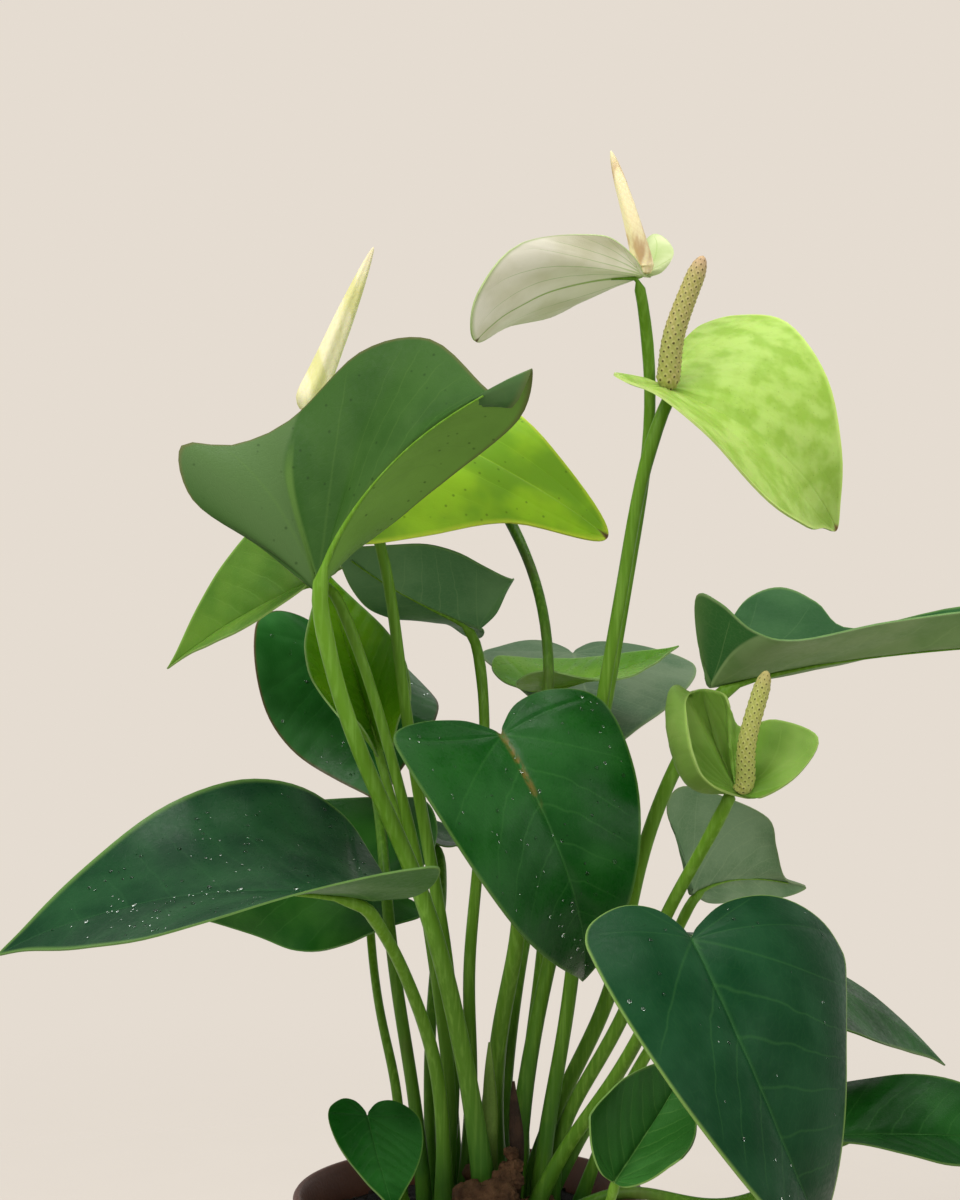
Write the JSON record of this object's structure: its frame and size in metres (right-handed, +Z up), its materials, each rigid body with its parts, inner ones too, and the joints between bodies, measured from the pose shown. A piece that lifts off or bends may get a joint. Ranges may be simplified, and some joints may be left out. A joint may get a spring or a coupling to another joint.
{
  "type": "potted anthurium plant",
  "caption": "Potted anthurium with heart-shaped leaves and green spathes on long bare stalks, in a plain round tapered pot.",
  "frame": {"origin": "centre of the underside of the pot", "axes": "+Z up along the pot's axis, +X towards the plant's long right side, -Y towards the plant's front"},
  "size_m": [0.3709, 0.2279, 0.4591],
  "materials": {
    "pot": "satin",
    "soil": "rough, damp",
    "crown": "rough",
    "stalks": "smooth, waxy",
    "dark_leaf": "glossy",
    "mid_leaf": "satin",
    "young_leaf": "glossy",
    "lime_leaf": "satin",
    "grey_leaf": "matt",
    "spathe_top": "satin, thin",
    "spathe_right": "satin",
    "spathe_left": "satin",
    "spathe_low": "satin",
    "spike_cream": "fine bumps",
    "spike_olive": "fine bumps",
    "sheath_green": "satin",
    "sheath_dry": "dry, rough"
  },
  "bodies": {
    "root": {"crown": "crown", "flower_left_spathe": "spathe_left", "flower_left_spike": "spike_cream", "flower_left_stalk": "stalks", "flower_low_spathe": "spathe_low", "flower_low_spike": "spike_olive", "flower_low_stalk": "stalks", "flower_right_spathe": "spathe_right", "flower_right_spike": "spike_olive", "flower_right_stalk": "stalks", "flower_top_spathe": "spathe_top", "flower_top_spike": "spike_cream", "flower_top_stalk": "stalks", "leaf_back_centre_blade": "grey_leaf", "leaf_back_centre_stalk": "stalks", "leaf_dark_left_blade": "dark_leaf", "leaf_dark_left_stalk": "stalks", "leaf_front_centre_blade": "dark_leaf", "leaf_front_centre_stalk": "stalks", "leaf_front_left_blade": "dark_leaf", "leaf_front_left_stalk": "stalks", "leaf_front_right_blade": "dark_leaf", "leaf_front_right_stalk": "stalks", "leaf_hidden_back_blade": "dark_leaf", "leaf_hidden_back_stalk": "stalks", "leaf_hood_blade": "mid_leaf", "leaf_hood_stalk": "stalks", "leaf_left_back_blade": "dark_leaf", "leaf_left_back_stalk": "stalks", "leaf_left_under_blade": "young_leaf", "leaf_left_under_stalk": "stalks", "leaf_lime_left_blade": "lime_leaf", "leaf_lime_left_stalk": "stalks", "leaf_right_back_blade": "grey_leaf", "leaf_right_back_stalk": "stalks", "leaf_right_folded_blade": "dark_leaf", "leaf_right_folded_stalk": "stalks", "leaf_right_low_blade": "dark_leaf", "leaf_right_low_stalk": "stalks", "leaf_right_lowest_blade": "dark_leaf", "leaf_right_lowest_stalk": "stalks", "leaf_small_left_blade": "dark_leaf", "leaf_small_left_stalk": "stalks", "leaf_small_right_blade": "mid_leaf", "leaf_small_right_stalk": "stalks", "leaf_upper_back_blade": "grey_leaf", "leaf_upper_back_stalk": "stalks", "leaf_young_centre_blade": "young_leaf", "leaf_young_centre_stalk": "stalks", "leaf_young_left_blade": "young_leaf", "leaf_young_left_stalk": "stalks", "pot": "pot", "sheath_dry": "sheath_dry", "sheath_green": "sheath_green", "soil": "soil"}
  },
  "joints": []
}
